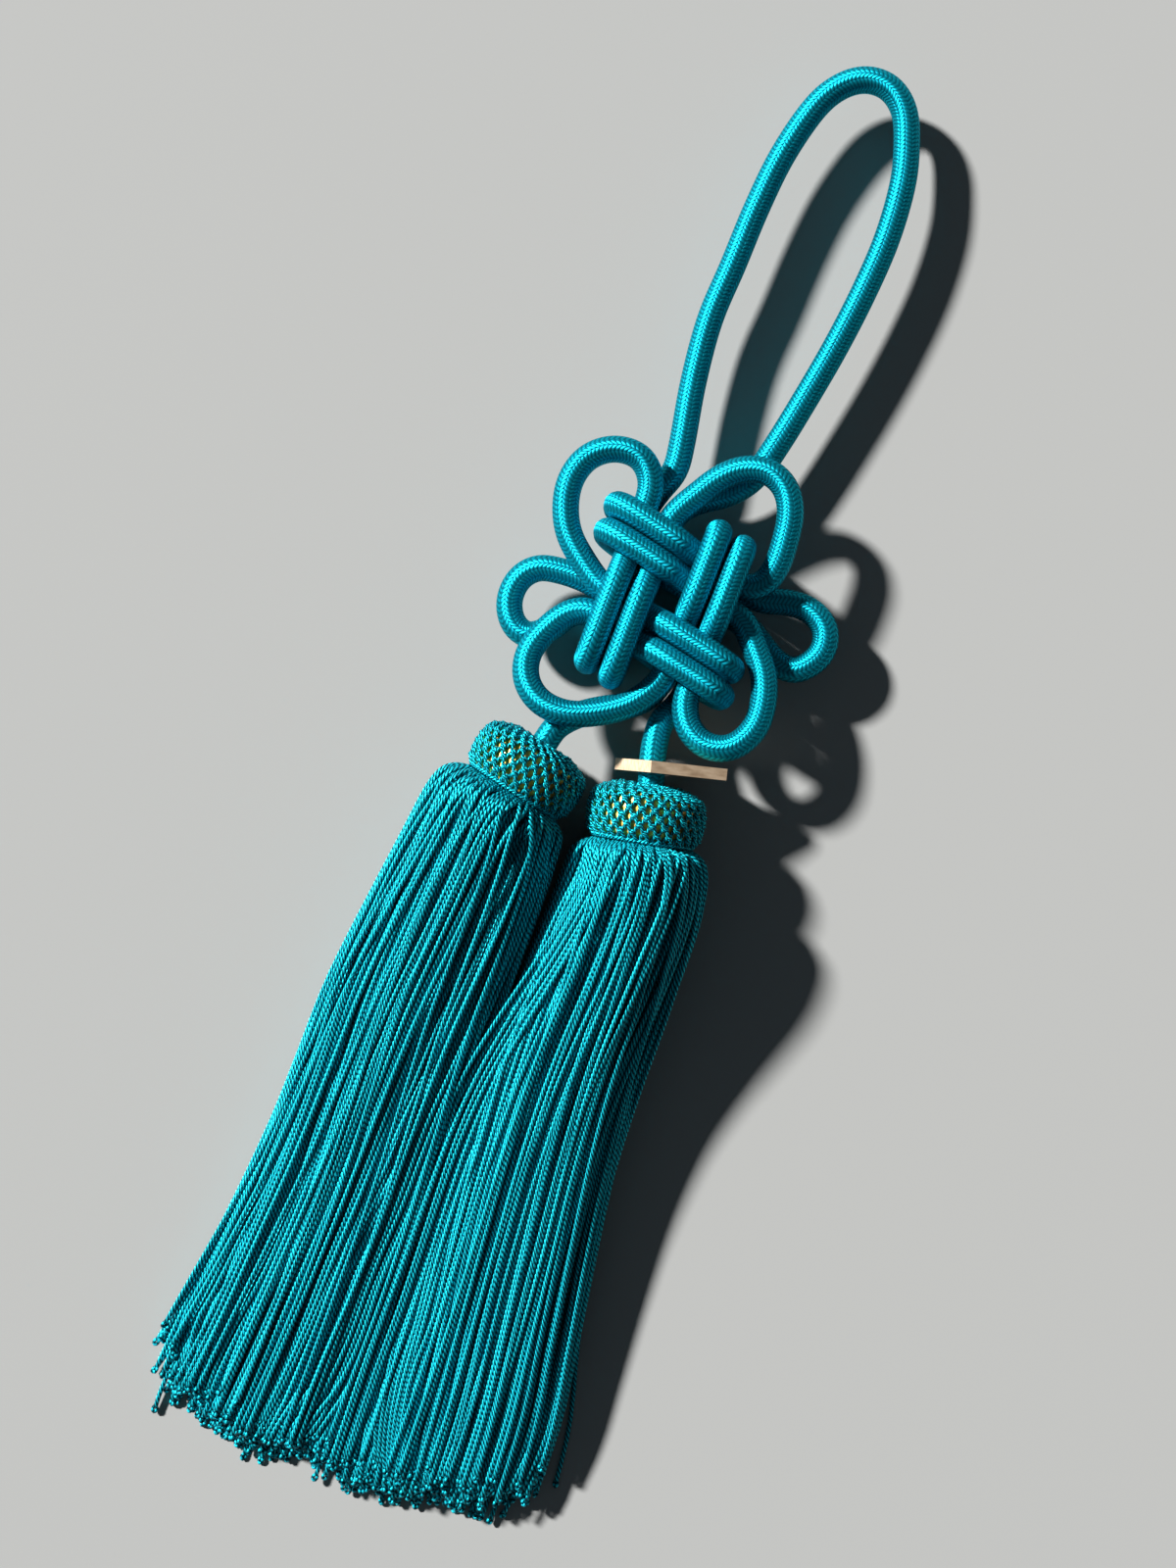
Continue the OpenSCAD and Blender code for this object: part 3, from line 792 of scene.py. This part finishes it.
def stations(sections):
    """The sections' columns at evenly many places between each two of them, and a little past the last."""
    table = np.array(sections)
    table[:, SEC_LEAN] = np.radians(table[:, SEC_LEAN])
    beyond = table[-1] + BEYOND * (table[-1] - table[-2])
    beyond[SEC_TOP] = table[-1, SEC_TOP]
    table = np.vstack([2 * table[0] - table[1], table, beyond, 2 * beyond - table[-1]])
    table[0, SEC_HALF:] = table[1, SEC_HALF:]
    found = [curve_at(table[i - 1:i + 3], s / STATIONS_PER_SECTION)
             for i in range(1, len(table) - 2) for s in range(STATIONS_PER_SECTION)]
    return np.array(found + [table[-2]])


def smooth_random(rng, threads, count, waves):
    """Slow random curves of about unit size, one for each thread."""
    t = np.linspace(0, 1, count)
    total = np.zeros((threads, count))
    for wave in range(1, waves + 1):
        total += rng.normal(0, 1 / wave, (threads, 1)) * np.sin(
            math.pi * wave * t + rng.uniform(0, 2 * math.pi, (threads, 1)))
    return total


def powered(value, power):
    """A power of the value's size, with the value's sign."""
    return np.sign(value) * np.abs(value) ** power


class SkirtForm:
    """The form of a skirt at each of its stations, and the random draws that lay strands in it.
    inner says where the other skirt lies: 1 for the right side and -1 for the left."""

    def __init__(self, sections, inner, seed):
        self.rng = np.random.default_rng(seed)
        self.inner = inner
        self.table = stations(sections)
        self.along = np.linspace(0, 1, len(self.table))[:, None]
        self.grown = np.clip((self.along - LOCKS_BEGIN) / LOCKS_GROW, 0, 1)
        top, under = self.table[:, SEC_TOP], self.table[:, SEC_UNDER]
        self.half = (self.table[:, SEC_HALF] - STRAND_R)[:, None]
        self.high = ((top - under) / 2 - STRAND_R)[:, None]
        self.middle = ((top + under) / 2)[:, None]
        self.square = self.table[:, SEC_SQUARE:SEC_SQUARE + 1]

    def outlines(self):
        """Each station's outline, with x across and z up in shares of its half width and half height,
        and the share of the way round at each of its points."""
        turn = np.linspace(0, 2 * math.pi, OUTLINE_POINTS)[None]
        squared = (np.sin(turn) < 0) | (self.inner * np.cos(turn) > 0)
        power = np.where(squared, 1 - SQUARENESS * self.square, 1)
        x, z = powered(np.cos(turn), power), powered(np.sin(turn), power)
        wide = self.table[:, SEC_HALF:SEC_HALF + 1]
        high = (self.table[:, SEC_TOP] - self.table[:, SEC_UNDER])[:, None] / 2
        steps = np.hypot(np.diff(x, axis=1) * wide, np.diff(z, axis=1) * high)
        way = np.concatenate([np.zeros((len(self.table), 1)), np.cumsum(steps, axis=1)], axis=1)
        return x, z, way / way[:, -1:]

    def reach(self, a, z):
        """1 on a section's outline, less inside it and more outside."""
        across, rise = a / self.half, (z - self.middle) / self.high
        squared = (rise < 0) | (self.inner * across > 0)
        power = np.where(squared, 2 / (1 - SQUARENESS * self.square), 2)
        return (np.abs(across) ** power + np.abs(rise) ** power) ** (1 / power)

    def on_top(self, a, lift):
        """Heights on the skirt's upper side, raised by lift."""
        side = np.clip(a / self.half, -TOP_EDGE, TOP_EDGE)
        power = np.where(self.inner * side > 0, 2 / (1 - SQUARENESS * self.square), 2)
        return self.middle + self.high * (1 - np.abs(side) ** power) ** (1 / power) + lift

    def waves(self, many, size):
        """Slow random curves along the skirt that grow from its head to its ends."""
        curves = smooth_random(self.rng, many, len(self.table), SWAY_WAVES).T
        return size * curves * self.grown * (HEAD_SWAY + END_SWAY * self.along ** 2)


def on_outline(outlines, turn):
    """Points of the outlines, at a number of turns round each of them."""
    found = [[np.interp(turn[i] % 1, way, axis) for axis in (x, z)]
             for i, (x, z, way) in enumerate(zip(*outlines))]
    return np.array([f[0] for f in found]), np.array([f[1] for f in found])


def spread(form, a, z):
    """Pushes the strands apart at every station until they lie side by side inside the skirt's outline."""
    for _ in range(SPREAD_PASSES):
        gap_a = a[:, :, None] - a[:, None, :]
        gap_z = z[:, :, None] - z[:, None, :]
        distance = np.sqrt(gap_a ** 2 + gap_z ** 2) + 1e-9
        push = PUSH * np.clip(STRAND_GAP / distance - 1, 0, MOST_PUSH)
        a = a + (gap_a * push).sum(axis=2)
        z = z + (gap_z * push).sum(axis=2)
        a[1:-1] = (1 - 2 * EASE) * a[1:-1] + EASE * (a[:-2] + a[2:])
        z[1:-1] = (1 - 2 * EASE) * z[1:-1] + EASE * (z[:-2] + z[2:])
        pull = 1 / np.maximum(form.reach(a, z) / LOOSE_REACH, 1)
        a = a * pull
        z = np.maximum(form.middle + (z - form.middle) * pull, STRAND_R)
    return a, z


def random_gaps(rng):
    """Gaps between bundles of locks at about even turns, as the deep gaps are given."""
    rows = []
    for i in range(RANDOM_GAPS):
        at = (i + rng.uniform(*GAP_SHIFTS)) / RANDOM_GAPS
        rows.append((at, at + rng.uniform(*GAP_DRIFTS), GAP_WIDTH * rng.uniform(*GAP_WIDTHS),
                     GAP_DEPTH * rng.uniform(*GAP_DEPTHS), rng.uniform(*GAP_WAVES), rng.uniform(*GAP_PHASES)))
    return rows


def sunk(form, turn, gaps):
    """How far each strand sinks into the gaps between the locks, and how far it leans out of them."""
    sink, lean = np.zeros_like(turn), np.zeros_like(turn)
    along = form.along
    for head_turn, end_turn, width, depth, waves, phase in gaps:
        wander = GAP_WANDER * np.sin(GAP_WANDER_WAVES * waves * along + phase)
        at = head_turn + (end_turn - head_turn) * along + wander
        beat = np.sin(math.pi * waves * along + phase)
        strength = form.grown * (GAP_STEADY + (1 - GAP_STEADY) * beat)
        away = ((turn - at + 0.5) % 1 - 0.5) / width
        reach = np.exp(-away ** 2)
        sink += depth * strength * reach
        lean += width * GAP_LEAN * strength * away * reach
    return sink, lean


def lock_layout(rng, threads, looseness):
    """Strands in locks of a few side by side, with gaps between the locks: each one's turn and its lock."""
    sizes = rng.integers(LOCK_LEAST, LOCK_MOST + 1, threads)
    lock = np.repeat(np.arange(threads), sizes)[:threads]
    last_of_lock = np.diff(lock, append=lock[-1] + 1) > 0
    step = np.where(last_of_lock, 1 + looseness * rng.uniform(*LOCK_GAPS, threads), 1)
    turn = np.concatenate([[0], np.cumsum(step)[:-1]]) / step.sum()
    return turn + rng.uniform(0, 1), lock


def layered_strands(form, deep_gaps):
    """Places across and up of the strands in all the layers, at each station."""
    outlines = form.outlines()
    gaps = list(deep_gaps) + random_gaps(form.rng)
    across, up = [], []
    for inset, threads, looseness in SKIRT_LAYERS:
        angle, lock = lock_layout(form.rng, threads, looseness)
        locks = lock[-1] + 1
        turn = angle + form.waves(locks, LOCK_SWAY)[:, lock] + form.waves(threads, STRAND_SWAY)
        lift = form.waves(locks, LOCK_LIFT)[:, lock] + form.waves(threads, STRAND_LIFT)
        sink, lean = sunk(form, turn, gaps)
        x, z = on_outline(outlines, turn + lean)
        deep = inset * (1 + HEAD_SINK * (1 - form.along) ** 3) + sink - lift
        reach = 1 - deep / np.hypot(x * form.half, z * form.high)
        across.append(form.half * x * reach)
        up.append(np.maximum(form.middle + form.high * z * reach, STRAND_R))
    return spread(form, np.hstack(across), np.hstack(up))


def riding_strands(form):
    """Strands that lie on top of the rest and cross them at a slant."""
    start = form.rng.uniform(-RIDER_START, RIDER_START, RIDERS) * form.half
    swing = form.rng.uniform(-1, 1, RIDERS) * RIDER_SWING * form.along
    a = start + swing + form.waves(RIDERS, RIDER_SWAY)
    lift = RIDER_LIFT * np.clip(RIDER_RISE * form.along, 0, 1) + form.waves(RIDERS, RIDER_UNEVEN)
    return a, form.on_top(a, lift)


def bridging_strands(form):
    """Strands from the right skirt's top to its inner edge, which close the gap to the left skirt."""
    edge = -form.half - STRAND_R - BRIDGE_GAP
    offset = np.linspace(*BRIDGE_ENDS, BRIDGES) * MM + form.waves(BRIDGES, BRIDGE_SWAY)
    over = np.clip((form.along - BRIDGE_BEGIN) / (1 - BRIDGE_BEGIN) * BRIDGE_SPEED, 0, 1)
    over = over * over * (3 - 2 * over)
    a = (edge + BRIDGE_START + BRIDGE_CLOSE * offset) * (1 - over) + (edge + offset) * over
    level = form.on_top(np.clip(a, edge + BRIDGE_INSIDE, None), BRIDGE_LIFT)
    drop = np.where(np.arange(BRIDGES) % 3 == 1, BRIDGE_DEEP_DROP, BRIDGE_DROP) * over
    return a, level - drop


def fanned(form, a, z):
    """Spreads or draws in the outer strands at their ends. On the right skirt the outermost one strays."""
    late = np.clip((form.along - FAN_BEGIN) / (1 - FAN_BEGIN), 0, 1)
    a = a - form.inner * FAN[form.inner] * (late ** 2 * np.clip(-form.inner * a / form.half, 0, 1) ** 3)
    if form.inner < 0:
        stray = np.argmax(a[-1])
        a[:, stray] += STRAY_OUT * late[:, 0]
        falling = np.clip((STRAY_DOWN - form.along[:, 0]) / STRAY_FALL, 0, 1)
        z[:, stray] = STRAND_R + (z[:, stray] - STRAND_R) * falling
    return a, z


def strand_paths(form, deep_gaps):
    """Centrelines of all the strands of a skirt, all with the same number of rings."""
    groups = [layered_strands(form, deep_gaps), riding_strands(form)]
    if form.inner < 0:
        groups.append(bridging_strands(form))
    a, z = fanned(form, np.hstack([g[0] for g in groups]), np.hstack([g[1] for g in groups]))
    tilt = form.table[:, SEC_LEAN][:, None]
    x = form.table[:, SEC_X][:, None] + a * np.cos(tilt)
    y = form.table[:, SEC_Y][:, None] - a * np.sin(tilt)
    paths = np.stack([x, y, z], axis=2).transpose(1, 0, 2)
    return cut_to_length(paths, form.rng) + KNOT_AT


def cut_to_length(paths, rng):
    """Ends each strand near the line of the ends, the upper ones a little sooner."""
    ends_x, ends_y = np.array(STRAND_ENDS).T
    done = []
    for path in paths:
        end_y = np.interp(path[-1, 0], ends_x, ends_y)
        uneven = rng.uniform(*END_UNEVEN) * MM
        longer = (rng.random() < LONG_SHARE) * LONG_BY
        end_y += END_RISE * path[-1, 2] + uneven - longer
        distance = lengths_along(path)
        stop = np.interp(-end_y, -path[:, 1], distance)
        places = distance * stop / distance[-1]
        done.append(np.stack([np.interp(places, distance, path[:, i]) for i in range(3)], axis=1))
    return np.array(done)


def end_rings(paths, rng):
    """The small loop of turned-back ply at each strand's end."""
    tip = paths[:, -1]
    ahead = unit(paths[:, -1] - paths[:, -3])
    tilt = rng.uniform(-END_TILT, END_TILT, len(tip))[:, None]
    flat = unit(np.cross(ahead, (0, 0, 1.0)))
    side = unit(flat * np.cos(tilt) + np.cross(ahead, flat) * np.sin(tilt))
    angle = whole_turn(END_POINTS)
    middle = tip + ahead * END_RING_R * END_AHEAD
    rings = (middle[:, None] + END_RING_R * END_LONG * np.cos(angle)[None, :, None] * ahead[:, None]
             + END_RING_R * np.sin(angle)[None, :, None] * side[:, None])
    rings[:, :, 2] = np.maximum(rings[:, :, 2], END_PLY_R)
    outward = np.broadcast_to(np.cross(ahead, side)[:, None], rings.shape)
    shape = sweep(rings, END_PLY_R, END_PLY_SIDES, True, outward)
    # The middle of each strand's own whole number, so that a loop is one tone all round
    shape["uvs"][:, :, 0] = np.floor(shape["uvs"][:, :1, 0]) + 0.5
    return shape


def make_skirt(name, node, sections, deep_gaps, inner, seed, material):
    """One skirt of separate strands, each with its end."""
    paths = strand_paths(SkirtForm(sections, inner, seed), deep_gaps)
    flare = 1 + END_FLARE * np.linspace(0, 1, paths.shape[1]) ** 2
    strands = sweep(paths, STRAND_R * flare[None, :, None], STRAND_SIDES)
    ends = end_rings(paths, np.random.default_rng(seed + 1))
    piece = new_piece(name, [strands, ends], material)
    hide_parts(node)


# The pieces

make_cord(braid_material())

net_yarn = yarn_material("net_yarn", ply_step=0.75 * MM, relief=0.2 * MM)
for name, node, at, lean, seed in (("left_net_yarn", "left_net", LEFT_HEAD_AT, LEFT_LEAN, 3),
                                   ("right_net_yarn", "right_net", RIGHT_HEAD_AT, RIGHT_LEAN, 4)):
    net = new_piece(name, net_shapes(at, lean, np.random.default_rng(seed)), net_yarn)
    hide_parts(node)

fringe_yarn = yarn_material("fringe_yarn", ply_step=1.02 * MM, relief=0.17 * MM)
make_skirt("left_fringe", "left_skirt", LEFT_SECTIONS, LEFT_GAPS, inner=1, seed=11, material=fringe_yarn)
make_skirt("right_fringe", "right_skirt", RIGHT_SECTIONS, RIGHT_GAPS, inner=-1, seed=12,
           material=fringe_yarn)

gold, pale_wood = gold_material(), wood_material()
for node, material in (("left_core", gold), ("right_core", gold), ("tag_plate", pale_wood)):
    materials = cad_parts[node].data.materials
    materials.clear()
    materials.append(material)


# Floor, light and camera

FLOOR_SIZE = 12.0
FLOOR_COLOUR = (0.3, 0.3, 0.29, 1)
CAMERA_AT = (-0.0006, -0.0011, 0.404)
CAMERA_TURN = math.radians(21)
CAMERA_LENS = 47.25
CAMERA_FILM = 36.0
# Direction to the key light, how wide it looks in radians, and its strength
KEY_FROM = Vector((-1.7, 0.456, 1.143))
KEY_ANGLE = 0.09
KEY_STRENGTH = 10.0
SURROUND_COLOUR = (0.7, 0.86, 1.0, 1)
SURROUND_STRENGTH = 0.08


def make_stage():
    """A plain pale floor, wide enough for a view from any side."""
    mesh = bpy.data.meshes.new("floor")
    h = FLOOR_SIZE / 2
    mesh.from_pydata([(-h, -h, 0), (h, -h, 0), (h, h, 0), (-h, h, 0)], [], [(0, 1, 2, 3)])
    material, _, shader = new_material("pale_floor")
    shader.inputs["Base Color"].default_value = FLOOR_COLOUR
    shader.inputs["Roughness"].default_value = 0.9
    mesh.materials.append(material)
    add_object("floor", mesh)


def make_lights():
    """One key light from the photo's side, and a weak bluish surround."""
    data = bpy.data.lights.new("key", "SUN")
    data.angle = KEY_ANGLE
    data.energy = KEY_STRENGTH
    light = add_object("key", data)
    light.rotation_euler = KEY_FROM.to_track_quat("Z", "Y").to_euler()
    world = bpy.data.worlds.new("studio")
    world.use_nodes = True
    background = world.node_tree.nodes["Background"]
    background.inputs["Color"].default_value = SURROUND_COLOUR
    background.inputs["Strength"].default_value = SURROUND_STRENGTH
    bpy.context.scene.world = world


def make_camera():
    """The photo's view, from straight above."""
    data = bpy.data.cameras.new("camera")
    data.sensor_fit = "VERTICAL"
    data.sensor_height = CAMERA_FILM
    data.lens = CAMERA_LENS
    camera = add_object("camera", data)
    camera.location = CAMERA_AT
    camera.rotation_euler = (0, 0, CAMERA_TURN)
    bpy.context.scene.camera = camera


bpy.context.scene.view_settings.view_transform = "Standard"
make_stage()
make_lights()
make_camera()
